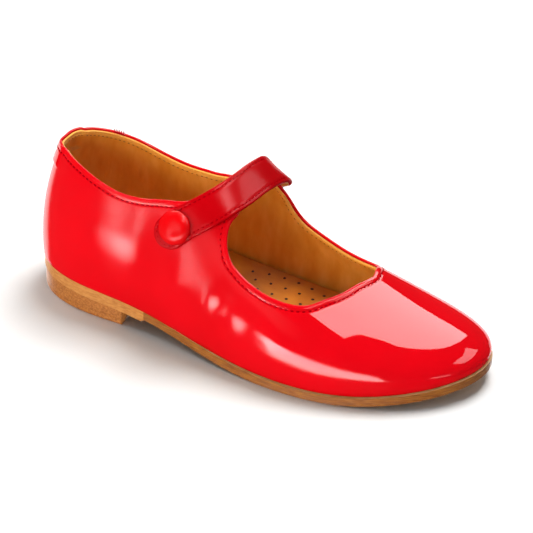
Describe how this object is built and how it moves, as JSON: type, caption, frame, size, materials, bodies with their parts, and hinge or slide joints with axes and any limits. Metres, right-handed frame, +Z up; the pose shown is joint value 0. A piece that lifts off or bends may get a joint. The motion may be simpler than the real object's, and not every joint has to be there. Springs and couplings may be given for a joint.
{
  "type": "mary jane shoe",
  "caption": "Child's right mary jane shoe in red patent leather, low stacked heel, round toe, strap over the instep with a covered button.",
  "frame": {"origin": "on the floor plane under the middle of the shoe's bounding box", "axes": "+X from heel to toe, +Y to the inner (medial) side, +Z up from the sole to the collar"},
  "size_m": [0.1845, 0.0696, 0.0691],
  "materials": {
    "patent_leather": "lacquered gloss",
    "sock_leather": "matt",
    "sole_leather": "burnished edge",
    "heel_stack": "waxed",
    "strap_leather": "lacquered gloss",
    "button_cover": "lacquered gloss"
  },
  "bodies": {
    "root": {"upper": "patent_leather", "insole": "sock_leather", "outsole": "sole_leather", "heel_block": "heel_stack", "strap": "strap_leather", "button": "button_cover"}
  },
  "joints": []
}
